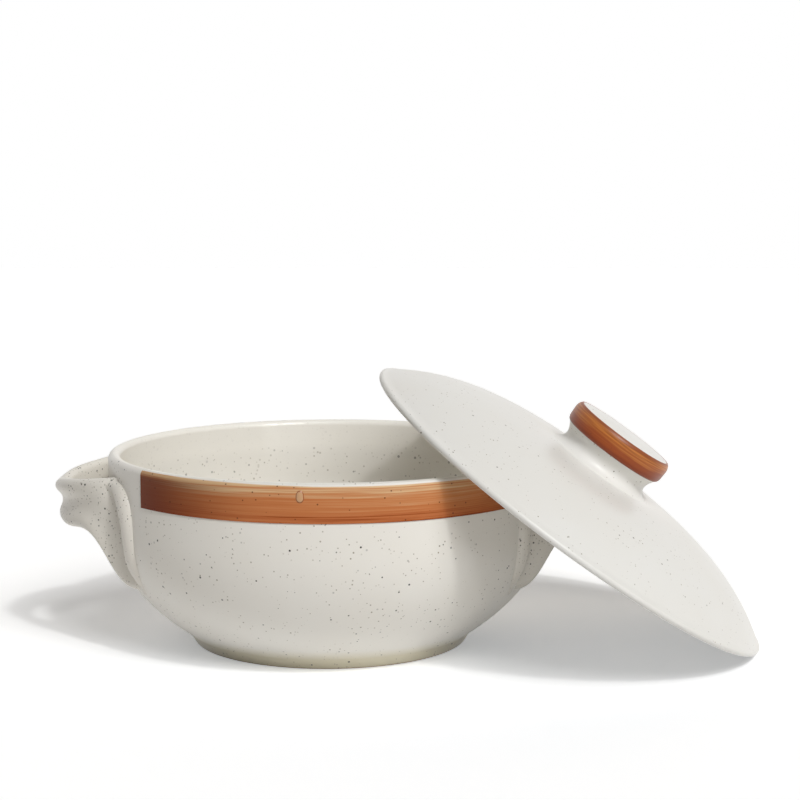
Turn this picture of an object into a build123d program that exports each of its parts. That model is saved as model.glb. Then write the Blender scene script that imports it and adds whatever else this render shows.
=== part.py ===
"""Stoneware serving bowl with two ear handles and a loose domed lid that leans against it.

The origin is the centre of the foot ring on the table, +Z is up, the handles lie on the X axis and the
lid leans on the +X handle with its lower edge on the table. All sizes are in millimetres.
"""

import os
from math import asin, cos, degrees, radians, sin

from build123d import *

os.makedirs("parts", exist_ok=True)

# Bowl
rim_radius = 100.0
bowl_height = 86.8
wall = 5.5
foot_radius = 62.0
foot_height = 5.0
foot_flare = 3.0
foot_width = 8.0
foot_recess = 3.0
foot_round = 0.8
crease_round = 2.0
floor_thickness = 6.0
floor_radius = 40.0
belly_height = 60.0
belly_angle = 34.0
belly_pull = 25.0

# Brown band under the lip
band_width = 16.4
band_skin = 0.2
band_gap = 0.15
band_half_angle = 51.2
band_lip_angle = 48.0

# Ear handles: heights are measured down from the rim, and shares along the strap from nose to root
handle_projection = 25.0
strap = 6.0
nose_width = 27.0
root_width = 86.0
shoulder = 8.3
root_reach = 12.0
nose_drop = 13.7
root_drop = 6.6
nose_depth = 18.1
root_depth = 52.4
slope_start = 0.65
slope_end = 1.12
nose_rake = 1.9
groove = 2.3
root_flare = 1.5

# Bead round each handle root: distances along the wall from the strap's middle line, and drops below its top
bead_radius = 5.0
bead_sink = 1.6
bead_fade = 0.3
bead_tip = 2.6
bead_swell = 0.4
bead_lift = 5.0
bead_start = -2.6
bead_start_drop = 4.0
bead_shoulder = 13.0
bead_spread = 19.0
bead_turn = 20.0
bead_heel = 9.5
bead_length = 48.0

# Lid
lid_overlap = 1.0
lid_edge = 3.4
lid_edge_bead = 1.6
lid_rise = 24.3
lid_thickness = 4.35
dome_fullness = 3.4

# Knob
knob_base_radius = 25.0
knob_waist_radius = 21.2
knob_foot_radius = 23.3
knob_radius = 24.8
knob_top_radius = 23.4
knob_waist = 4.7
knob_neck = 9.9
knob_bulge = 3.8
knob_disc = 9.7
knob_crown = 0.6
knob_ring = 0.6

# How the lid leans
lean_tilt = 35.6
lean_turn = -4.65
lean_offset = -13.9
lean_clearance = 0.3
table_clearance = 0.2

# Sizes that follow from the ones above
inner_radius = rim_radius - wall
lip_radius = wall / 2
lip_centre = rim_radius - lip_radius
lip_height = bowl_height - lip_radius
foot_top_radius = foot_radius + foot_flare
floor_height = foot_recess + floor_thickness
band_bottom = bowl_height - band_width
belly_rise = (belly_pull * cos(radians(belly_angle)), belly_pull * sin(radians(belly_angle)))
belly = (
    (foot_top_radius, foot_height),
    (foot_top_radius + belly_rise[0], foot_height + belly_rise[1]),
    (rim_radius, belly_height - belly_pull),
    (rim_radius, belly_height),
)
lid_inner_radius = rim_radius + lid_overlap
lid_radius = lid_inner_radius + lid_edge
lid_hollow = lid_rise - lid_thickness
lid_edge_height = 2 * lid_edge_bead
curve_step = 0.001


def bezier_point(controls, t):
    """Point of a cubic curve given by four control points."""
    weights = ((1 - t) ** 3, 3 * t * (1 - t) ** 2, 3 * t**2 * (1 - t), t**3)
    return tuple(sum(w * c[k] for w, c in zip(weights, controls)) for k in range(2))


def wall_radius(height):
    """Outer radius of the bowl at a height above the foot ring."""
    if height >= belly_height:
        return rim_radius
    low, high = 0.0, 1.0
    for _ in range(40):
        middle = (low + high) / 2
        if bezier_point(belly, middle)[1] < height:
            low = middle
        else:
            high = middle
    return bezier_point(belly, low)[0]


def travel(path, t, side):
    """Direction in which a path runs on one side of the handle, at a share t of its length."""
    return (path(t + curve_step, side) - path(t - curve_step, side)).normalized()


def round_plane(azimuth):
    """Upright plane through the bowl's axis, with local x pointing outwards at an azimuth in degrees."""
    a = radians(azimuth)
    return Plane(origin=(0, 0, 0), x_dir=(cos(a), sin(a), 0), z_dir=(sin(a), -cos(a), 0))


# Bowl: one profile from the foot ring over the lip to the inside floor
with BuildPart() as bowl_body:
    with BuildSketch(Plane.XZ):
        with BuildLine():
            foot_inner = foot_radius - foot_width
            Polyline(
                (0, foot_recess),
                (foot_inner - foot_recess, foot_recess),
                (foot_inner, 0),
                (foot_radius, 0),
                (foot_top_radius, foot_height),
            )
            Bezier(*belly)
            Line((rim_radius, belly_height), (rim_radius, lip_height))
            ThreePointArc((rim_radius, lip_height), (lip_centre, bowl_height), (inner_radius, lip_height))
            Line((inner_radius, lip_height), (inner_radius, belly_height))
            Bezier(
                (inner_radius, belly_height),
                (inner_radius, belly_height - belly_pull),
                (floor_radius + belly_pull, floor_height),
                (floor_radius, floor_height),
            )
            Polyline((floor_radius, floor_height), (0, floor_height), (0, foot_recess))
        make_face()
    revolve(axis=Axis.Z)
    rings = bowl_body.edges().filter_by(GeomType.CIRCLE)
    fillet(rings.filter_by_position(Axis.Z, -0.1, 0.1), foot_round)
    rings = bowl_body.edges().filter_by(GeomType.CIRCLE)
    fillet(rings.filter_by_position(Axis.Z, foot_height - 0.1, foot_height + 0.1), crease_round)
bowl_body.part.label = "bowl_body"
export_step(bowl_body.part, "parts/bowl_body.step")

# Solid form inside the bowl's outer face, which the handles are trimmed to
with BuildPart() as bowl_form:
    with BuildSketch(Plane.XZ):
        with BuildLine():
            Line((0, foot_height), belly[0])
            Bezier(*belly)
            Polyline(belly[-1], (rim_radius, bowl_height), (0, bowl_height), (0, foot_height))
        make_face()
    revolve(axis=Axis.Z)


def rim_band(middle):
    """Skin of brown slip on the wall and the outer half of the lip, centred on an azimuth in degrees."""
    near = rim_radius + band_gap
    far = near + band_skin
    with BuildPart() as band:
        with BuildSketch(round_plane(middle - band_half_angle)):
            with BuildLine():
                Line((near, band_bottom), (near, lip_height))
                inside = CenterArc((lip_centre, lip_height), near - lip_centre, 0, band_lip_angle)
                outside = CenterArc((lip_centre, lip_height), far - lip_centre, 0, band_lip_angle)
                Line(inside @ 1, outside @ 1)
                Polyline((far, lip_height), (far, band_bottom), (near, band_bottom))
            make_face()
        revolve(axis=Axis.Z, revolution_arc=2 * band_half_angle)
    return band.part


for name, azimuth in (("rim_band_front", -90), ("rim_band_back", 90)):
    skin = rim_band(azimuth)
    skin.label = name
    export_step(skin, f"parts/{name}.step")

# Ear handle: plan curve of the strap's middle line, from the nose to a root, for the +Y half
half_strap = strap / 2
root_y = root_width / 2 - half_strap
nose_x = rim_radius + handle_projection - half_strap
ear_plan = (
    (nose_x, 0),
    (nose_x, nose_width / 2),
    (rim_radius + shoulder, root_y),
    (rim_radius - root_reach, root_y),
)
root_share = [0.0, 0.25, 0.5, 0.72, 0.88, 1.0, 1.15]


def ear_point(t, side):
    """Plan point of the strap's middle line at a share t of the way to a root."""
    x, y = bezier_point(ear_plan, t)
    return Vector(x, side * y, 0)


def ear_top(t):
    """Height of the strap's top edge, which climbs steadily from the nose to the root."""
    return bowl_height - nose_drop + (nose_drop - root_drop) * t


def ear_bottom(t):
    """Height of the strap's bottom edge, level at the nose and easing down to the root."""
    nose = bowl_height - nose_drop - nose_depth
    root = bowl_height - root_drop - root_depth
    u = min(max(t - slope_start, 0.0) / (slope_end - slope_start), 1.0)
    return nose + (root - nose) * u**2 * (3 - 2 * u)


def strap_section(t, side):
    """Section of the strap: rolled edges, flat inside, hollowed outside and flared at the root."""
    along = travel(ear_point, t, side)
    outward = Vector(side * along.Y, -side * along.X, 0)
    top = ear_top(t)
    bottom = ear_bottom(t)
    middle = (top + bottom) / 2
    rake = nose_rake * (1 - t)
    depth = groove * (1 - t**4)
    flare = root_flare * t**8
    hollow = half_strap - rake / 2 - depth + flare
    low = -rake
    low_face = low + half_strap
    high_roll = top - half_strap
    low_roll = bottom + half_strap
    ease = (top - middle) / 3
    with BuildSketch(Plane(origin=ear_point(t, side), x_dir=outward, z_dir=-side * along)) as section:
        with BuildLine():
            Line((low - half_strap, low_roll), (-half_strap, high_roll))
            ThreePointArc((-half_strap, high_roll), (0, top), (half_strap, high_roll))
            Bezier(
                (half_strap, high_roll),
                (half_strap, high_roll - ease),
                (hollow, middle + ease),
                (hollow, middle),
            )
            Bezier(
                (hollow, middle),
                (hollow, middle - ease),
                (low_face, low_roll + ease),
                (low_face, low_roll),
            )
            ThreePointArc((low_face, low_roll), (low, bottom), (low - half_strap, low_roll))
        make_face()
    return section.sketch


near_half = [strap_section(t, -1) for t in reversed(root_share)]
far_half = [strap_section(t, 1) for t in root_share[1:]]

# Root bead: azimuth in degrees and height along the wall, from inside the strap's top edge to the low end
root_azimuth = degrees(asin(root_y / rim_radius))
root_top = bowl_height - root_drop
bead_path = tuple(
    (root_azimuth + degrees(run / rim_radius), root_top - drop)
    for run, drop in (
        (bead_start, bead_start_drop),
        (bead_shoulder, bead_start_drop),
        (bead_spread, bead_turn),
        (bead_heel, bead_length),
    )
)


def bead_point(q, side):
    """Point of the bead's middle line at a share q of its path, out of the strap and into the wall below."""
    azimuth, z = bezier_point(bead_path, q)
    lift = bead_lift * (1 - q) ** 6
    sink = bead_sink + (bead_radius + bead_fade - bead_sink) * q**6
    r = wall_radius(z) + lift - sink
    return Vector(r * cos(radians(azimuth)), side * r * sin(radians(azimuth)), z)


def bead_section(q, side):
    """Round section of the bead, square to its middle line, which swells as it leaves the strap."""
    place = bead_point(q, side)
    inward = Vector(-place.X, -place.Y, 0)
    swell = min(q / bead_swell, 1.0)
    with BuildSketch(Plane(origin=place, x_dir=inward, z_dir=travel(bead_point, q, side))) as section:
        Circle(bead_tip + (bead_radius - bead_tip) * swell**2 * (3 - 2 * swell))
    return section.sketch


bead_share = [0.0, 0.15, 0.35, 0.55, 0.75, 0.9, 1.0]

with BuildPart() as handle_right:
    loft(near_half + far_half)
    for side in (-1, 1):
        loft([bead_section(q, side) for q in bead_share])
    add(bowl_form.part, mode=Mode.SUBTRACT)
handle_right.part.label = "handle_right"
export_step(handle_right.part, "parts/handle_right.step")

with BuildPart() as handle_left:
    mirror(handle_right.part, about=Plane.YZ)
handle_left.part.label = "handle_left"
export_step(handle_left.part, "parts/handle_left.step")


# Leaning lid: directions of its axis and of its lowest edge point
tilt = radians(lean_tilt)
turn = radians(lean_turn)
lid_axis = Vector(sin(tilt) * cos(turn), sin(tilt) * sin(turn), cos(tilt))
lid_down = Vector(cos(tilt) * cos(turn), cos(tilt) * sin(turn), -sin(tilt))


def dome(r, radius, rise):
    """Height of a full, flat-topped dome over its edge."""
    return rise * (1 - (r / radius) ** dome_fullness)


def lid_centre(x):
    """Centre of the lid's edge plane when it stands on the table at a distance x from the bowl's axis."""
    edge = lid_radius - lid_edge_bead
    drop = edge * sin(tilt) - lid_edge_bead * cos(tilt) + lid_edge_bead
    return Vector(x, lean_offset, drop + table_clearance)


def rest_points():
    """Centres and radii of the round edges that the leaning lid can rest on: both ear tops and the lip."""
    for step in range(21):
        t = step / 20
        x, y = bezier_point(ear_plan, t)
        z = ear_top(t) - half_strap
        yield Vector(x, y, z), half_strap
        yield Vector(x, -y, z), half_strap
    for azimuth in range(-60, 61, 3):
        a = radians(azimuth)
        yield Vector(lip_centre * cos(a), lip_centre * sin(a), lip_height), lip_radius


def rest_gap(x):
    """Least gap between the lid's hollow and the edges under it, with the lid at a distance x."""
    centre = lid_centre(x)
    gaps = []
    for point, radius in rest_points():
        offset = point - centre
        height = offset.dot(lid_axis)
        r = (offset - lid_axis * height).length
        if r < lid_inner_radius:
            gaps.append(dome(r, lid_inner_radius, lid_hollow) - height - radius)
    return min(gaps)


near, far = 0.0, 3 * rim_radius
for _ in range(50):
    guess = (near + far) / 2
    if rest_gap(guess) < lean_clearance:
        near = guess
    else:
        far = guess
lid_place = lid_centre(far)
lid_plane = Plane(origin=lid_place, x_dir=lid_down, z_dir=lid_down.cross(lid_axis))
lid_turn = Axis(lid_place, lid_axis)


def dome_points(radius, end, base, rise):
    """Points of a dome's profile from its edge in to a radius near its crown."""
    radii = [radius - (radius - end) * q for q in (0.0, 0.06, 0.16, 0.3, 0.5, 0.75, 1.0)]
    return [(r, base + dome(r, radius, rise)) for r in radii]


# Lid: rounded edge, full dome above with a flat seat for the knob, and a hollow dome inside
lid_bead = lid_radius - lid_edge_bead
seat_height = lid_edge_height + dome(knob_base_radius, lid_bead, lid_rise - lid_edge_height)
with BuildPart() as lid_shell:
    with BuildSketch(lid_plane):
        with BuildLine():
            top = dome_points(lid_bead, knob_base_radius, lid_edge_height, lid_rise - lid_edge_height)
            under = dome_points(lid_inner_radius, 0, 0, lid_hollow)
            Line(under[0], (lid_bead, 0))
            ThreePointArc((lid_bead, 0), (lid_radius, lid_edge_bead), (lid_bead, lid_edge_height))
            Spline(*top)
            Polyline(top[-1], (0, seat_height), under[-1])
            Spline(*reversed(under))
        make_face()
    revolve(axis=lid_turn)
lid_shell.part.label = "lid_shell"
export_step(lid_shell.part, "parts/lid_shell.step")

# Knob: coved neck under a disc, with a slightly crowned top
waist_height = seat_height + knob_waist
disc_bottom = seat_height + knob_neck
disc_top = disc_bottom + knob_disc
crown_height = disc_top + knob_crown
ring_radius = min(knob_foot_radius, knob_top_radius) - knob_ring
crown_radius = (ring_radius**2 + knob_crown**2) / (2 * knob_crown)
with BuildPart() as lid_knob:
    with BuildSketch(lid_plane):
        with BuildLine():
            Line((0, seat_height), (knob_base_radius, seat_height))
            Spline(
                (knob_base_radius, seat_height),
                (knob_waist_radius, waist_height),
                (knob_foot_radius, disc_bottom),
                tangents=((-1, 0.5), (0.6, 1)),
            )
            Polyline((knob_foot_radius, disc_bottom), (ring_radius, disc_bottom), (ring_radius, disc_top))
            RadiusArc((ring_radius, disc_top), (0, crown_height), -crown_radius)
            Line((0, crown_height), (0, seat_height))
        make_face()
    revolve(axis=lid_turn)
lid_knob.part.label = "lid_knob"
export_step(lid_knob.part, "parts/lid_knob.step")

# Brown ring on the disc's edge: full and rounded outside, seated on the disc
with BuildPart() as knob_band:
    with BuildSketch(lid_plane):
        with BuildLine():
            Polyline(
                (knob_top_radius, disc_top),
                (ring_radius, disc_top),
                (ring_radius, disc_bottom),
                (knob_foot_radius, disc_bottom),
            )
            Spline(
                (knob_foot_radius, disc_bottom),
                (knob_radius, disc_bottom + knob_bulge),
                (knob_top_radius, disc_top),
                tangents=((1, 0.4), (-1, 0.8)),
            )
        make_face()
    revolve(axis=lid_turn)
knob_band.part.label = "knob_band"
export_step(knob_band.part, "parts/knob_band.step")
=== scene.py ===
"""Dressed scene of a stoneware serving bowl with two ear handles and a loose domed lid that leans against it.

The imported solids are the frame. This script gives them their glaze and slip, adds the glaze run on the rim band,
and sets the floor, the light and the camera of the photograph. Sizes are in millimetres in the object's own frame:
the origin is the centre of the foot ring, +Z is up and the photograph looks along +Y.
"""

import logging
import math
from dataclasses import dataclass, field
from enum import Enum

import bmesh
import bpy
from mathutils import Matrix, Vector


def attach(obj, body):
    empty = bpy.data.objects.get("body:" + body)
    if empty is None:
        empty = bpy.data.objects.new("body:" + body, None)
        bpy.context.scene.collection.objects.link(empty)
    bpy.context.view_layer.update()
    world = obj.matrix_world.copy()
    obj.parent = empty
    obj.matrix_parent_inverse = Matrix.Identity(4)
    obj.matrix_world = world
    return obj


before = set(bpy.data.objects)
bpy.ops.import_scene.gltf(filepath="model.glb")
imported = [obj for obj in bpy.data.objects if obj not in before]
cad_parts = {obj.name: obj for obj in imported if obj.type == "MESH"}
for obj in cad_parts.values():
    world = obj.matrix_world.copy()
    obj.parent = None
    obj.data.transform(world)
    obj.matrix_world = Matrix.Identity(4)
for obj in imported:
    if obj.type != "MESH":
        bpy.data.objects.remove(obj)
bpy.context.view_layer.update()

log = logging.getLogger("serving_bowl")
MM = 0.001  # metres in a millimetre
WHITE = "#FFFFFF"
RISE = "rise"  # vertex attribute: how far a point of the glaze run stands out
WELD_REACH = 0.004  # millimetres within which the corners of neighbouring facets are one
SHARP_EDGE = 38.0  # degrees past which an edge stays crisp
MIX_A, MIX_B, MIX_OUT = 6, 7, 2  # colour sockets of a Mix node


class Body(Enum):
    """Loose parts of the object, by their names in the frame."""

    BOWL = "bowl"
    LID = "lid"


class Slot(Enum):
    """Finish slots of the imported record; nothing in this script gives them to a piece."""

    SLIP = "slip"


def linear(hex_colour: str) -> tuple[float, float, float, float]:
    """Turn an sRGB hex colour into linear RGBA.

    Args:
        hex_colour: Colour such as "#E7E3D9".

    Returns:
        Linear red, green and blue with an alpha of 1.
    """
    parts = [int(hex_colour[i : i + 2], 16) / 255 for i in (1, 3, 5)]
    red, green, blue = (p / 12.92 if p <= 0.04045 else ((p + 0.055) / 1.055) ** 2.4 for p in parts)
    return red, green, blue, 1.0


def add_node(tree: bpy.types.NodeTree, kind: str, feeds: dict, **settings: object) -> bpy.types.Node:
    """Add one node with its settings, and feed its sockets.

    Args:
        tree: Node tree that takes the node.
        kind: Node type, such as "ShaderNodeMath".
        feeds: Socket name or number, with the value or the output socket that goes into it.
        settings: Properties of the node itself.

    Returns:
        The new node.
    """
    node = tree.nodes.new(kind)
    for name, value in settings.items():
        setattr(node, name, value)
    for socket, value in feeds.items():
        if isinstance(value, bpy.types.NodeSocket):
            tree.links.new(value, node.inputs[socket])
        else:
            node.inputs[socket].default_value = value
    return node


def new_tree(name: str) -> tuple[bpy.types.Material, bpy.types.NodeTree]:
    """Make an empty node material.

    Args:
        name: Name of the material.

    Returns:
        The material and its node tree, with no nodes in it.
    """
    material = bpy.data.materials.new(name)
    material.use_nodes = True
    material.node_tree.nodes.clear()
    return material, material.node_tree


def seen_rays(tree: bpy.types.NodeTree) -> bpy.types.NodeSocket:
    """Output socket that is 1 for camera, mirror and transmitted rays, and 0 for the rest.

    Args:
        tree: Node tree of a floor or of the world.

    Returns:
        The clamped sum of the three ray kinds.
    """
    path = add_node(tree, "ShaderNodeLightPath", {})
    direct = add_node(
        tree,
        "ShaderNodeMath",
        {0: path.outputs["Is Camera Ray"], 1: path.outputs["Is Glossy Ray"]},
        operation="ADD",
        use_clamp=True,
    )
    return add_node(
        tree,
        "ShaderNodeMath",
        {0: direct.outputs[0], 1: path.outputs["Is Transmission Ray"]},
        operation="ADD",
        use_clamp=True,
    ).outputs[0]


@dataclass(frozen=True)
class SpeckledGlaze:
    """Cream satin glaze on iron-bearing stoneware.

    Iron grains in the clay burn through the glaze as small dark specks, thicker in some patches than in others, and
    the glaze drifts a little between a cooler and a warmer cream. Inside a bowl it is whiter and plainer, most of all
    towards the lip: partly thicker glaze, partly painted light. Towards the foot it turns a warmer, darker buff:
    partly thinner glaze, partly painted warm shade. The eye sees a smooth, softly shining skin with scattered dots,
    and bare clay only under the foot. Lengths are in millimetres.
    """

    name: str
    cream_hex: str = "#EAE8E2"
    warm_hex: str = "#E6E2D9"
    speck_hex: str = "#2F2A24"
    haze_hex: str = "#9A9282"
    # warmer, darker cream towards the foot: partly thinner glaze, partly painted warm shade
    foot_glaze_and_shade_hex: str = "#E3DCC5"
    clay_hex: str = "#B59873"
    # whiter cream inside, most towards the lip: partly thicker glaze, partly painted light
    inside_glaze_and_light_hex: str = "#F4F1E9"
    drift_size: float = 34.0
    patch_size: float = 16.0
    patch_low: float = 0.36
    patch_high: float = 0.64
    patch_least: float = 0.55
    patch_most: float = 1.1
    floor_share: float = 20.0
    inside_swell: float = 0.0
    inside_glaze_and_light: float = 0.0
    lip_glaze_and_light: float = 0.0
    lip_from: float = 70.0
    lip_to: float = 75.0
    speck_cell: float = 4.1
    speck_radius: float = 0.52
    haze_cell: float = 2.3
    haze_radius: float = 0.4
    speck_edge: float = 0.14
    grain_low: float = 0.25
    grain_high: float = 0.7
    grain_faint: float = 0.3
    ripple_size: float = 17.0
    ripple_height: float = 0.10
    peel_size: float = 1.8
    peel_height: float = 0.008
    foot_height: float = 10.0
    foot_fade: float = 6.0
    bare_height: float = 0.5
    bare_fade: float = 0.2
    satin_least: float = 0.24
    satin_most: float = 0.38
    clay_rough: float = 0.85
    refraction: float = 1.5
    gloss: float = 0.5

    def spots(
        self,
        tree: bpy.types.NodeTree,
        place: bpy.types.NodeSocket,
        patch: bpy.types.NodeSocket,
        cell: float,
        radius: float,
    ) -> bpy.types.NodeSocket:
        """Mask of round grains that lie in the skin, some strong and some faint.

        Args:
            tree: Node tree of the glaze.
            place: Output socket with the place in millimetres.
            patch: Output socket that swells and shrinks the grains from patch to patch.
            cell: Mean distance between grains in the clay.
            radius: Radius of the largest grains.

        Returns:
            Output socket, up to 1 inside a grain and 0 outside.
        """
        grain = add_node(tree, "ShaderNodeTexVoronoi", {"Vector": place, "Scale": 1 / cell}, feature="F1")
        reach = add_node(tree, "ShaderNodeMath", {0: patch, 1: radius}, operation="MULTIPLY")
        depth = add_node(
            tree,
            "ShaderNodeMath",
            {0: grain.outputs["Distance"], 1: -cell, 2: reach.outputs[0]},
            operation="MULTIPLY_ADD",
        )
        inside = add_node(
            tree, "ShaderNodeMath", {0: depth.outputs[0], 1: self.speck_edge}, operation="DIVIDE", use_clamp=True
        )
        strength = add_node(
            tree,
            "ShaderNodeMapRange",
            {
                "Value": grain.outputs["Color"],
                "From Min": self.grain_low,
                "From Max": self.grain_high,
                "To Min": self.grain_faint,
            },
        )
        return add_node(
            tree, "ShaderNodeMath", {0: inside.outputs[0], 1: strength.outputs[0]}, operation="MULTIPLY"
        ).outputs[0]

    def material(self) -> bpy.types.Material:
        """Build the glaze as a node material."""
        material, tree = new_tree(self.name)
        coords = add_node(tree, "ShaderNodeTexCoord", {})
        scaled = add_node(
            tree, "ShaderNodeMapping", {"Vector": coords.outputs["Object"], "Scale": (1 / MM, 1 / MM, 1 / MM)}
        )
        place = scaled.outputs[0]
        drift = add_node(tree, "ShaderNodeTexNoise", {"Vector": place, "Scale": 1 / self.drift_size, "Detail": 3.0})
        ground = add_node(
            tree,
            "ShaderNodeMix",
            {0: drift.outputs[0], MIX_A: linear(self.cream_hex), MIX_B: linear(self.warm_hex)},
            data_type="RGBA",
        ).outputs[MIX_OUT]
        height = add_node(tree, "ShaderNodeSeparateXYZ", {0: place})
        # painted shade, partly: towards the foot the cream turns warmer and darker, which also stands for thinner
        # glaze there
        foot_tint = add_node(
            tree,
            "ShaderNodeMapRange",
            {"Value": height.outputs[2], "From Min": self.foot_height, "From Max": self.foot_height - self.foot_fade},
        )
        ground = add_node(
            tree, "ShaderNodeMix", {0: foot_tint.outputs[0], MIX_A: ground, MIX_B: linear(self.foot_glaze_and_shade_hex)}, data_type="RGBA"
        ).outputs[MIX_OUT]
        clump = add_node(tree, "ShaderNodeTexNoise", {"Vector": place, "Scale": 1 / self.patch_size, "Detail": 1.0})
        patch = add_node(
            tree,
            "ShaderNodeMapRange",
            {
                "Value": clump.outputs[0],
                "From Min": self.patch_low,
                "From Max": self.patch_high,
                "To Min": self.patch_least,
                "To Max": self.patch_most,
            },
        )
        outwards = add_node(
            tree,
            "ShaderNodeVectorMath",
            {0: place, 1: (1, 1, 0), 2: (0, 0, -self.floor_share)},
            operation="MULTIPLY_ADD",
        )
        facing = add_node(
            tree,
            "ShaderNodeVectorMath",
            {0: outwards.outputs[0], 1: coords.outputs["Normal"]},
            operation="DOT_PRODUCT",
        )
        inside = add_node(tree, "ShaderNodeMath", {0: facing.outputs["Value"], 1: 0.0}, operation="LESS_THAN")
        # painted light, partly: inside the bowl the glaze is mixed towards a whiter, plainer cream, most towards the
        # lip, which also stands for thicker glaze there
        thick_glaze_and_light = add_node(
            tree,
            "ShaderNodeMapRange",
            {
                "Value": height.outputs[2],
                "From Min": self.lip_from,
                "From Max": self.lip_to,
                "To Min": self.inside_glaze_and_light,
                "To Max": self.lip_glaze_and_light,
            },
        )
        pool_and_painted_light = add_node(
            tree, "ShaderNodeMath", {0: inside.outputs[0], 1: thick_glaze_and_light.outputs[0]}, operation="MULTIPLY"
        ).outputs[0]
        swollen = add_node(
            tree,
            "ShaderNodeMath",
            {0: inside.outputs[0], 1: self.inside_swell, 2: patch.outputs[0]},
            operation="MULTIPLY_ADD",
        )
        haze = self.spots(tree, place, swollen.outputs[0], self.haze_cell, self.haze_radius)
        speck = self.spots(tree, place, swollen.outputs[0], self.speck_cell, self.speck_radius)
        hazed = add_node(
            tree, "ShaderNodeMix", {0: haze, MIX_A: ground, MIX_B: linear(self.haze_hex)}, data_type="RGBA"
        ).outputs[MIX_OUT]
        specked = add_node(
            tree, "ShaderNodeMix", {0: speck, MIX_A: hazed, MIX_B: linear(self.speck_hex)}, data_type="RGBA"
        ).outputs[MIX_OUT]
        whitened_skin = add_node(
            tree, "ShaderNodeMix", {0: pool_and_painted_light, MIX_A: specked, MIX_B: linear(self.inside_glaze_and_light_hex)}, data_type="RGBA"
        ).outputs[MIX_OUT]
        bare = add_node(
            tree,
            "ShaderNodeMapRange",
            {"Value": height.outputs[2], "From Min": self.bare_height, "From Max": self.bare_height - self.bare_fade},
        )
        skin = add_node(
            tree, "ShaderNodeMix", {0: bare.outputs[0], MIX_A: whitened_skin, MIX_B: linear(self.clay_hex)}, data_type="RGBA"
        ).outputs[MIX_OUT]
        satin = add_node(
            tree,
            "ShaderNodeMapRange",
            {"Value": drift.outputs[0], "To Min": self.satin_least, "To Max": self.satin_most},
        )
        rough = add_node(
            tree,
            "ShaderNodeMapRange",
            {"Value": bare.outputs[0], "To Min": satin.outputs[0], "To Max": self.clay_rough},
        )
        ripple = add_node(tree, "ShaderNodeTexNoise", {"Vector": place, "Scale": 1 / self.ripple_size, "Detail": 1.0})
        peel = add_node(tree, "ShaderNodeTexNoise", {"Vector": place, "Scale": 1 / self.peel_size, "Detail": 2.0})
        wavy = add_node(
            tree, "ShaderNodeBump", {"Strength": 1.0, "Distance": self.ripple_height * MM, "Height": ripple.outputs[0]}
        )
        relief = add_node(
            tree,
            "ShaderNodeBump",
            {"Strength": 1.0, "Distance": self.peel_height * MM, "Height": peel.outputs[0], "Normal": wavy.outputs[0]},
        )
        shader = add_node(
            tree,
            "ShaderNodeBsdfPrincipled",
            {
                "Base Color": skin,
                "Roughness": rough.outputs[0],
                "IOR": self.refraction,
                "Specular IOR Level": self.gloss,
                "Normal": relief.outputs[0],
            },
        )
        add_node(tree, "ShaderNodeOutputMaterial", {"Surface": shader.outputs[0]})
        return material


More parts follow.
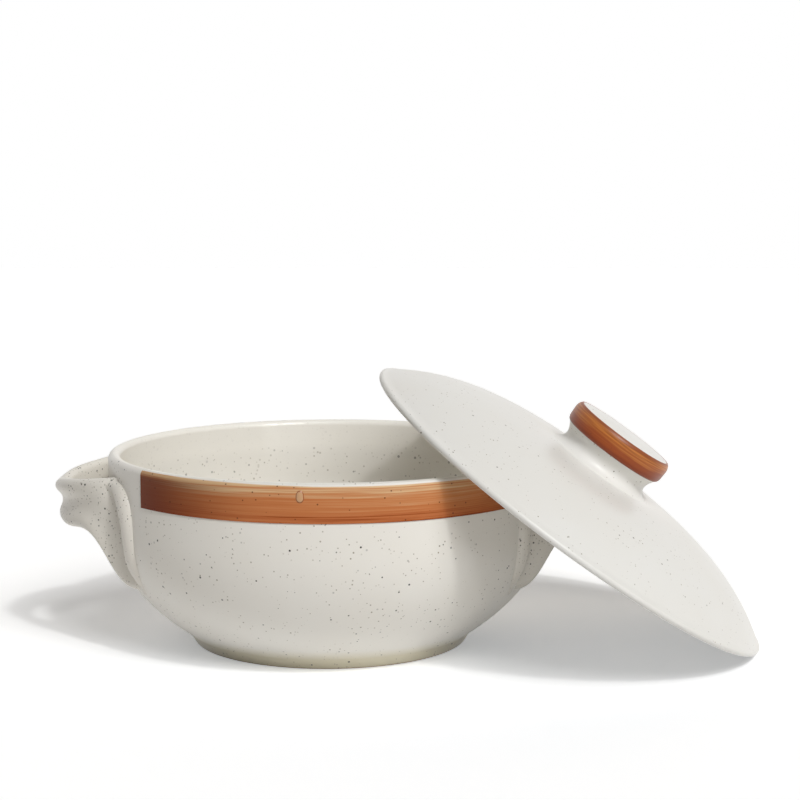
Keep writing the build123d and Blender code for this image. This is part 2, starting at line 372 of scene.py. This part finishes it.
@dataclass(frozen=True)
class BrushedSlip:
    """Brown iron slip brushed round a turning pot, under a clear glaze.

    The brush leaves long fine streaks that follow the turn and open into slim lens shapes, like wood grain. The
    slip thins to straw and then to bare cream at the upper edge, and pools to red brown at the lower one. Towards
    the ends of each band it turns dark brown, most of all where the stroke starts: partly thicker slip, partly
    painted shade on the side turned from the key. It lies under a soft shine. Lengths are in millimetres.
    """

    name: str
    dark_hex: str = "#8C4319"
    pool_hex: str = "#AC5E33"
    low_hex: str = "#B96D40"
    mid_hex: str = "#C27B4B"
    high_hex: str = "#C99165"
    thin_hex: str = "#D9B68C"
    # colour of the band's darkened ends: partly thicker slip, partly painted shade
    end_slip_and_shade_hex: str = "#692A10"
    speck_hex: str = "#42200F"
    cream_hex: str = "#EAE8E2"
    stops: tuple[float, ...] = (0.0, 0.12, 0.3, 0.55, 0.8, 0.97)
    bottom: float = 70.4
    width: float = 16.4
    bottom_share: float = 0.12
    noise_detail: float = 2.5
    noise_rough: float = 0.6
    streak_length: float = 70.0
    streak_height: float = 0.6
    streak_swing: float = 1.15
    figure_length: float = 46.0
    figure_height: float = 8.0
    figure_swing: float = 0.45
    line_pitch: float = 2.3
    line_turns: float = 2.2
    line_swing: float = 0.05
    end_from: float = 12.0
    end_to: float = 48.0
    end_strength: float = 0.92
    far_end: float = 0.45
    end_fade: float = 0.84
    end_gone: float = 0.97
    end_left: float = 0.1
    bare_from: float = 85.4
    bare_rise: float = 1.1
    bare_reach: float = 75.0
    bare_waver: float = 0.8
    bare_fade: float = 0.35
    speck_cell: float = 3.2
    speck_radius: float = 0.42
    speck_core: float = 0.6
    speck_strength: float = 0.8
    rough_least: float = 0.28
    rough_most: float = 0.46
    brush_relief: float = 0.02
    refraction: float = 1.45
    gloss: float = 0.12
    turned: tuple[tuple[float, float, float], tuple[float, float, float]] = ((0, 0, 0), (0, 0, 0))

    def stretched(
        self, tree: bpy.types.NodeTree, local: bpy.types.NodeSocket, length: float, height: float
    ) -> bpy.types.NodeSocket:
        """Noise that is drawn out along the brush stroke.

        Args:
            tree: Node tree of the slip.
            local: Output socket with the place in millimetres, the stroke's turn being about z.
            length: Size of a feature along the stroke.
            height: Size of a feature across the stroke.

        Returns:
            Output socket of the noise, about 0.5 in the mean.
        """
        drawn = add_node(tree, "ShaderNodeMapping", {"Vector": local, "Scale": (1 / length, 1 / length, 1 / height)})
        return add_node(
            tree,
            "ShaderNodeTexNoise",
            {
                "Vector": drawn.outputs[0],
                "Scale": 1.0,
                "Detail": self.noise_detail,
                "Roughness": self.noise_rough,
            },
        ).outputs[0]

    def stroke_ends_and_shade(self, tree: bpy.types.NodeTree, local: bpy.types.NodeSocket) -> bpy.types.NodeSocket:
        """Mask of the darker ends of the front and back strokes, darkest where the brush, full of slip, starts.
        The darkening is partly thicker slip and partly painted shade on the sides that turn from the key.

        Args:
            tree: Node tree of the slip.
            local: Output socket with the place in millimetres.

        Returns:
            Output socket that rises to the end strength at the ends.
        """
        parts = add_node(tree, "ShaderNodeSeparateXYZ", {0: local})
        across = add_node(tree, "ShaderNodeMath", {0: parts.outputs[0]}, operation="ABSOLUTE")
        ahead = add_node(tree, "ShaderNodeMath", {0: parts.outputs[1]}, operation="ABSOLUTE")
        angle = add_node(tree, "ShaderNodeMath", {0: across.outputs[0], 1: ahead.outputs[0]}, operation="ARCTAN2")
        side = add_node(tree, "ShaderNodeMath", {0: parts.outputs[0], 1: parts.outputs[1]}, operation="MULTIPLY")
        start = add_node(tree, "ShaderNodeMath", {0: side.outputs[0], 1: 0.0}, operation="GREATER_THAN")
        reach = add_node(
            tree, "ShaderNodeMapRange", {"Value": start.outputs[0], "To Min": self.far_end, "To Max": 1.0}
        )
        turned = add_node(tree, "ShaderNodeMath", {0: angle.outputs[0], 1: reach.outputs[0]}, operation="MULTIPLY")
        return add_node(
            tree,
            "ShaderNodeMapRange",
            {
                "Value": turned.outputs[0],
                "From Min": math.radians(self.end_from),
                "From Max": math.radians(self.end_to),
                "To Max": self.end_strength,
            },
            interpolation_type="SMOOTHSTEP",
        ).outputs[0]

    def material(self) -> bpy.types.Material:
        """Build the slip as a node material."""
        material, tree = new_tree(self.name)
        place, turn = self.turned
        coords = add_node(tree, "ShaderNodeTexCoord", {})
        local = add_node(
            tree,
            "ShaderNodeMapping",
            {
                "Vector": coords.outputs["Object"],
                "Location": place,
                "Rotation": turn,
                "Scale": (1 / MM, 1 / MM, 1 / MM),
            },
        ).outputs[0]
        streak = self.stretched(tree, local, self.streak_length, self.streak_height)
        figure = self.stretched(tree, local, self.figure_length, self.figure_height)
        across, _, height = add_node(tree, "ShaderNodeSeparateXYZ", {0: local}).outputs
        share = add_node(
            tree,
            "ShaderNodeMapRange",
            {
                "Value": height,
                "From Min": self.bottom,
                "From Max": self.bottom + self.width,
                "To Min": self.bottom_share,
            },
        ).outputs[0]
        rows = add_node(tree, "ShaderNodeMath", {0: height, 1: math.tau / self.line_pitch}, operation="MULTIPLY")
        bent = add_node(
            tree,
            "ShaderNodeMath",
            {0: figure, 1: math.tau * self.line_turns, 2: rows.outputs[0]},
            operation="MULTIPLY_ADD",
        )
        line = add_node(tree, "ShaderNodeMath", {0: bent.outputs[0]}, operation="SINE").outputs[0]
        tone = share
        for pattern, swing in ((line, self.line_swing), (streak, self.streak_swing), (figure, self.figure_swing)):
            tone = add_node(
                tree, "ShaderNodeMath", {0: pattern, 1: swing, 2: tone}, operation="MULTIPLY_ADD"
            ).outputs[0]
        centred = add_node(
            tree, "ShaderNodeMath", {0: tone, 1: (self.streak_swing + self.figure_swing) / 2}, operation="SUBTRACT"
        )
        ramp = add_node(tree, "ShaderNodeValToRGB", {0: centred.outputs[0]})
        colours = (self.dark_hex, self.pool_hex, self.low_hex, self.mid_hex, self.high_hex, self.thin_hex)
        while len(ramp.color_ramp.elements) < len(colours):
            ramp.color_ramp.elements.new(0.5)
        for element, position, colour in zip(ramp.color_ramp.elements, self.stops, colours):
            element.position = position
            element.color = linear(colour)
        # painted shade, partly: the band's ends are mixed towards the end colour, which also stands for thicker slip
        # where the stroke starts
        ends_by_height = add_node(
            tree,
            "ShaderNodeMapRange",
            {
                "Value": share,
                "From Min": self.end_fade,
                "From Max": self.end_gone,
                "To Min": 1.0,
                "To Max": self.end_left,
            },
        )
        pool_and_painted_light = add_node(
            tree, "ShaderNodeMath", {0: self.stroke_ends_and_shade(tree, local), 1: ends_by_height.outputs[0]}, operation="MULTIPLY"
        )
        ended = add_node(
            tree,
            "ShaderNodeMix",
            {0: pool_and_painted_light.outputs[0], MIX_A: ramp.outputs[0], MIX_B: linear(self.end_slip_and_shade_hex)},
            data_type="RGBA",
        ).outputs[MIX_OUT]
        grain = add_node(tree, "ShaderNodeTexVoronoi", {"Vector": local, "Scale": 1 / self.speck_cell}, feature="F1")
        dot = add_node(
            tree,
            "ShaderNodeMapRange",
            {
                "Value": grain.outputs["Distance"],
                "From Min": self.speck_radius / self.speck_cell,
                "From Max": self.speck_core * self.speck_radius / self.speck_cell,
                "To Max": self.speck_strength,
            },
        )
        specked = add_node(
            tree, "ShaderNodeMix", {0: dot.outputs[0], MIX_A: ended, MIX_B: linear(self.speck_hex)}, data_type="RGBA"
        ).outputs[MIX_OUT]
        slant = add_node(
            tree,
            "ShaderNodeMapRange",
            {"Value": across, "From Min": -self.bare_reach, "From Max": 0.0, "To Min": -self.bare_rise, "To Max": 0.0},
        )
        slanted = add_node(tree, "ShaderNodeMath", {0: height, 1: slant.outputs[0]}, operation="ADD")
        wavering = add_node(
            tree, "ShaderNodeMath", {0: figure, 1: self.bare_waver, 2: slanted.outputs[0]}, operation="MULTIPLY_ADD"
        )
        edge = self.bare_from + self.bare_waver / 2
        bare = add_node(
            tree,
            "ShaderNodeMapRange",
            {"Value": wavering.outputs[0], "From Min": edge, "From Max": edge + self.bare_fade},
        )
        colour = add_node(
            tree,
            "ShaderNodeMix",
            {0: bare.outputs[0], MIX_A: specked, MIX_B: linear(self.cream_hex)},
            data_type="RGBA",
        ).outputs[MIX_OUT]
        rough = add_node(
            tree, "ShaderNodeMapRange", {"Value": streak, "To Min": self.rough_least, "To Max": self.rough_most}
        )
        relief = add_node(
            tree, "ShaderNodeBump", {"Strength": 1.0, "Distance": self.brush_relief * MM, "Height": streak}
        )
        shader = add_node(
            tree,
            "ShaderNodeBsdfPrincipled",
            {
                "Base Color": colour,
                "Roughness": rough.outputs[0],
                "IOR": self.refraction,
                "Specular IOR Level": self.gloss,
                "Normal": relief.outputs[0],
            },
        )
        add_node(tree, "ShaderNodeOutputMaterial", {"Surface": shader.outputs[0]})
        return material


@dataclass(frozen=True)
class GlazeRun:
    """Drop of glaze that ran over the brown slip and set there.

    A clear glaze that set thickly: a smooth tan bead, with a darker line of painted shade round its edge where it
    sinks to the band.
    """

    name: str
    core_hex: str = "#C99B70"
    # darker rim of the drop: painted shade
    edge_shade_hex: str = "#96572C"
    edge_from: float = 0.45
    edge_to: float = 0.72
    cloud_size: float = 1.5
    rough_least: float = 0.15
    rough_most: float = 0.3
    refraction: float = 1.5

    def material(self) -> bpy.types.Material:
        """Build the drop's finish as a node material, from how far each point of the drop stands out; where the drop
        sinks to the band its colour darkens as painted shade.
        """
        material, tree = new_tree(self.name)
        rise = add_node(tree, "ShaderNodeAttribute", {}, attribute_name=RISE)
        core = add_node(
            tree,
            "ShaderNodeMapRange",
            {"Value": rise.outputs["Fac"], "From Min": self.edge_from, "From Max": self.edge_to},
        )
        # painted shade: the low rim of the drop is mixed towards a darker brown
        colour = add_node(
            tree,
            "ShaderNodeMix",
            {0: core.outputs[0], MIX_A: linear(self.edge_shade_hex), MIX_B: linear(self.core_hex)},
            data_type="RGBA",
        )
        coords = add_node(tree, "ShaderNodeTexCoord", {})
        cloud = add_node(
            tree, "ShaderNodeTexNoise", {"Vector": coords.outputs["Object"], "Scale": 1 / (self.cloud_size * MM)}
        )
        rough = add_node(
            tree,
            "ShaderNodeMapRange",
            {"Value": cloud.outputs[0], "To Min": self.rough_least, "To Max": self.rough_most},
        )
        shader = add_node(
            tree,
            "ShaderNodeBsdfPrincipled",
            {"Base Color": colour.outputs[MIX_OUT], "Roughness": rough.outputs[0], "IOR": self.refraction},
        )
        add_node(tree, "ShaderNodeOutputMaterial", {"Surface": shader.outputs[0]})
        return material


@dataclass(frozen=True)
class SeamlessPaper:
    """White seamless studio paper.

    It is matt and plain and keeps the object's shadow. The camera and mirror rays see it a little brighter and cooler
    than the light that it throws back on the object, so that it runs into the white background.
    """

    name: str = "White seamless paper"
    paper_hex: str = WHITE
    glow_hex: str = "#F2F8FF"
    seen_glow: float = 0.305

    def material(self) -> bpy.types.Material:
        """Build the paper as a node material."""
        material, tree = new_tree(self.name)
        matt = add_node(tree, "ShaderNodeBsdfDiffuse", {"Color": linear(self.paper_hex)})
        lift = add_node(tree, "ShaderNodeMath", {0: seen_rays(tree), 1: self.seen_glow}, operation="MULTIPLY")
        glow = add_node(tree, "ShaderNodeEmission", {"Color": linear(self.glow_hex), "Strength": lift.outputs[0]})
        both = add_node(tree, "ShaderNodeAddShader", {0: matt.outputs[0], 1: glow.outputs[0]})
        add_node(tree, "ShaderNodeOutputMaterial", {"Surface": both.outputs[0]})
        return material


def dress(node_name: str, material: bpy.types.Material) -> None:
    """Give a solid of the frame its finish and its smooth shading, with crisp edges where faces meet sharply.

    Args:
        node_name: Name of the solid.
        material: Finish that it takes.
    """
    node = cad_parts[node_name]
    node.data.materials.clear()
    node.data.materials.append(material)
    node.data.polygons.foreach_set("use_smooth", [True] * len(node.data.polygons))
    weld = node.modifiers.new("weld", "WELD")
    weld.merge_threshold = WELD_REACH * MM
    crisp = node.modifiers.new("crisp_edges", "EDGE_SPLIT")
    crisp.split_angle = math.radians(SHARP_EDGE)
    log.info("dressed %s in %s", node_name, material.name)


@dataclass
class Bowl:
    """The bowl with its ear handles, its two rim bands and the glaze run on the front band, in millimetres."""

    body: Body = Body.BOWL
    rim_radius: float = 100.0
    band_skin: float = 0.35
    run_azimuth: float = -95.0
    run_top: float = 84.1
    run_bottom: float = 79.0
    run_width: float = 3.4
    run_swell: float = 0.6
    run_straight: float = 0.6
    run_taper: float = 0.12
    run_facets: tuple[int, int] = (24, 16)
    glaze: SpeckledGlaze = field(
        default_factory=lambda: SpeckledGlaze(
            # whiter inside and lip: partly thicker glaze, partly painted light
            "Speckled cream stoneware glaze", inside_swell=0.4, inside_glaze_and_light=0.4, lip_glaze_and_light=0.9
        )
    )
    handle_glaze: SpeckledGlaze = field(
        default_factory=lambda: SpeckledGlaze(
            "Thickly speckled cream stoneware glaze",
            cream_hex="#E2DFD7",
            warm_hex="#DDD8CE",
            speck_cell=2.4,
            haze_cell=1.5,
        )
    )
    slip: BrushedSlip = field(default_factory=lambda: BrushedSlip("Brushed iron slip under clear glaze"))
    run_glaze: GlazeRun = field(default_factory=lambda: GlazeRun("Glaze run over iron slip"))

    def finish_solids(self) -> None:
        """Dress the bowl, the handles and the bands."""
        dress("bowl_body", self.glaze.material())
        handle_glaze = self.handle_glaze.material()
        for node_name in ("handle_left", "handle_right"):
            dress(node_name, handle_glaze)
        slip = self.slip.material()
        for node_name in ("rim_band_front", "rim_band_back"):
            dress(node_name, slip)
        log.info("finished the %s", self.body.value)

    def add_run(self) -> bpy.types.Object:
        """Model the drop of glaze that ran down the front band.

        Returns:
            The new piece, riding on the bowl.
        """
        mesh = bmesh.new()
        around, along = self.run_facets
        bmesh.ops.create_uvsphere(mesh, u_segments=around, v_segments=along, radius=1.0)
        rise = mesh.verts.layers.float.new(RISE)
        for vertex in mesh.verts:
            vertex[rise] = vertex.co.y
            vertex.co.x *= 1.0 - self.run_taper * max(vertex.co.z, 0.0)
        upper = [v for v in mesh.verts if v.co.z > 0.0]
        bmesh.ops.translate(mesh, vec=(0, 0, self.run_straight), verts=upper)
        half_length = (self.run_top - self.run_bottom) / 2
        middle = (self.run_top + self.run_bottom) / 2
        bmesh.ops.translate(mesh, vec=(0, 0, -self.run_straight / 2), verts=mesh.verts)
        stretch = half_length / (1.0 + self.run_straight / 2)
        bmesh.ops.scale(mesh, vec=(self.run_width / 2 * MM, self.run_swell * MM, stretch * MM), verts=mesh.verts)
        bmesh.ops.translate(mesh, vec=(0, (self.rim_radius + self.band_skin) * MM, middle * MM), verts=mesh.verts)
        turn = Matrix.Rotation(math.radians(self.run_azimuth - 90.0), 3, "Z")
        bmesh.ops.rotate(mesh, cent=(0, 0, 0), matrix=turn, verts=mesh.verts)
        for face in mesh.faces:
            face.smooth = True
        data = bpy.data.meshes.new("glaze_run")
        mesh.to_mesh(data)
        mesh.free()
        piece = bpy.data.objects.new("glaze_run", data)
        bpy.context.scene.collection.objects.link(piece)
        data.materials.append(self.run_glaze.material())
        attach(piece, Body.BOWL.value)
        log.info("added %s on %s", piece.name, Body.BOWL.value)
        return piece


@dataclass
class Lid:
    """The domed lid with its knob, as it leans on the right handle, in millimetres and degrees."""

    body: Body = Body.LID
    lean_tilt: float = 35.6
    lean_turn: float = -4.65
    centre: tuple[float, float, float] = (107.018, -13.9, 60.341)
    ring_bottom: float = 34.0
    ring_width: float = 9.7
    ring_spare: float = 5.0
    glaze: SpeckledGlaze = field(
        default_factory=lambda: SpeckledGlaze(
            "Sparsely speckled cream stoneware glaze",
            cream_hex="#E9E9E6",
            warm_hex="#E6E4DE",
            speck_hex="#6A6255",
            patch_most=0.98,
            speck_cell=5.7,
            haze_cell=2.5,
            foot_height=-5.0,
            bare_height=-5.0,
            gloss=0.26,
        )
    )

    def to_local(self) -> tuple[tuple[float, float, float], tuple[float, float, float]]:
        """Place and turn that bring the leaning lid's axis upright on the origin.

        Returns:
            Location in millimetres and rotation in radians, for a Mapping node.
        """
        tilt, turn = math.radians(self.lean_tilt), math.radians(self.lean_turn)
        axis = Vector((math.sin(tilt) * math.cos(turn), math.sin(tilt) * math.sin(turn), math.cos(tilt)))
        upright = axis.rotation_difference(Vector((0, 0, 1))).to_matrix()
        return tuple(-(upright @ Vector(self.centre))), tuple(upright.to_euler("XYZ"))

    def finish_solids(self) -> None:
        """Dress the lid, the knob and the knob's band."""
        glaze = self.glaze.material()
        for node_name in ("lid_shell", "lid_knob"):
            dress(node_name, glaze)
        ring = BrushedSlip(
            "Brushed iron slip on the knob",
            dark_hex="#6E2B0C",
            pool_hex="#88370B",
            low_hex="#8E3C0C",
            mid_hex="#9A4610",
            high_hex="#C07632",
            thin_hex="#8A4312",
            bottom=self.ring_bottom,
            width=self.ring_width,
            streak_length=30.0,
            streak_swing=0.62,
            end_strength=0.0,
            speck_radius=0.25,
            gloss=0.5,
            bare_from=self.ring_bottom + self.ring_width + self.ring_spare,
            turned=self.to_local(),
        )
        dress("knob_band", ring.material())
        log.info("finished the %s", self.body.value)


@dataclass
class Studio:
    """Floor, light and camera of the photograph, in millimetres and degrees."""

    floor_side: float = 6000.0
    key_azimuth: float = -59.0
    key_elevation: float = 46.0
    core_angle: float = 4.0
    core_strength: float = 0.75
    box_angle: float = 35.0
    box_strength: float = 1.85
    tent_hex: str = "#FFEFD8"
    tent_low: tuple[float, float, float] = (0.0, 0.08, 0.0)
    tent_high: tuple[float, float, float] = (0.06, 1.05, 0.0)
    background_hex: str = WHITE
    camera_place: tuple[float, float, float] = (31.8, -884.3, 218.5)
    camera_pitch: float = 82.92
    camera_lens: float = 88.38
    camera_sensor: float = 36.0
    camera_clip: float = 10.0

    def lay_floor(self) -> None:
        """Lay the pale floor under the foot ring."""
        mesh = bmesh.new()
        bmesh.ops.create_grid(mesh, x_segments=1, y_segments=1, size=self.floor_side / 2 * MM)
        data = bpy.data.meshes.new("floor")
        mesh.to_mesh(data)
        mesh.free()
        floor = bpy.data.objects.new("floor", data)
        bpy.context.scene.collection.objects.link(floor)
        data.materials.append(SeamlessPaper().material())
        log.info("laid the floor")

    def hang_key(self, name: str, angle: float, strength: float) -> None:
        """Hang a key lamp, far off in front and to the right, so that it lights the floor evenly.

        Args:
            name: Name of the lamp.
            angle: Width in degrees that it has from the object.
            strength: Its light on a surface that faces it.
        """
        azimuth, elevation = math.radians(self.key_azimuth), math.radians(self.key_elevation)
        level = math.cos(elevation)
        towards = Vector((level * math.cos(azimuth), level * math.sin(azimuth), math.sin(elevation)))
        data = bpy.data.lights.new(name, "SUN")
        data.angle = math.radians(angle)
        data.energy = strength
        lamp = bpy.data.objects.new(name, data)
        lamp.location = towards
        lamp.rotation_euler = towards.to_track_quat("Z", "Y").to_euler()
        bpy.context.scene.collection.objects.link(lamp)
        log.info("hung %s", name)

    def fill_world(self) -> None:
        """Surround the object with a light tent that is brighter on some sides, in front of a white background."""
        world = bpy.data.worlds.new("white_tent")
        bpy.context.scene.world = world
        world.use_nodes = True
        tree = world.node_tree
        tree.nodes.clear()
        towards = add_node(tree, "ShaderNodeTexCoord", {}).outputs["Generated"]
        sides = []
        for bound, weights in (("MAXIMUM", self.tent_high), ("MINIMUM", self.tent_low)):
            half = add_node(tree, "ShaderNodeVectorMath", {0: towards, 1: (0, 0, 0)}, operation=bound).outputs[0]
            lobes = add_node(tree, "ShaderNodeVectorMath", {0: half, 1: half}, operation="MULTIPLY").outputs[0]
            side = add_node(tree, "ShaderNodeVectorMath", {0: lobes, 1: weights}, operation="DOT_PRODUCT")
            sides.append(side.outputs["Value"])
        tent = add_node(tree, "ShaderNodeMath", {0: sides[0], 1: sides[1]}, operation="ADD")
        seen = seen_rays(tree)
        strength = add_node(tree, "ShaderNodeMapRange", {"Value": seen, "To Min": tent.outputs[0], "To Max": 1.0})
        colour = add_node(
            tree,
            "ShaderNodeMix",
            {0: seen, MIX_A: linear(self.tent_hex), MIX_B: linear(self.background_hex)},
            data_type="RGBA",
        )
        sky = add_node(
            tree, "ShaderNodeBackground", {"Color": colour.outputs[MIX_OUT], "Strength": strength.outputs[0]}
        )
        add_node(tree, "ShaderNodeOutputWorld", {"Surface": sky.outputs[0]})

    def set_camera(self) -> None:
        """Put the camera where the photograph was taken."""
        data = bpy.data.cameras.new("camera")
        data.lens = self.camera_lens
        data.sensor_width = self.camera_sensor
        data.clip_start = self.camera_clip * MM
        camera = bpy.data.objects.new("camera", data)
        camera.location = Vector(self.camera_place) * MM
        camera.rotation_euler = (math.radians(self.camera_pitch), 0.0, 0.0)
        bpy.context.scene.collection.objects.link(camera)
        bpy.context.scene.camera = camera

    def build(self) -> None:
        """Set up floor, light, background and camera."""
        self.lay_floor()
        self.hang_key("key_core", self.core_angle, self.core_strength)
        self.hang_key("key_softbox", self.box_angle, self.box_strength)
        self.fill_world()
        self.set_camera()
        bpy.context.scene.view_settings.view_transform = "Standard"


def main() -> None:
    """Dress the object and set the studio."""
    logging.basicConfig(level=logging.INFO, format="%(name)s: %(message)s")
    bowl = Bowl()
    bowl.finish_solids()
    bowl.add_run()
    Lid().finish_solids()
    Studio().build()


if __name__ == "__main__":
    main()
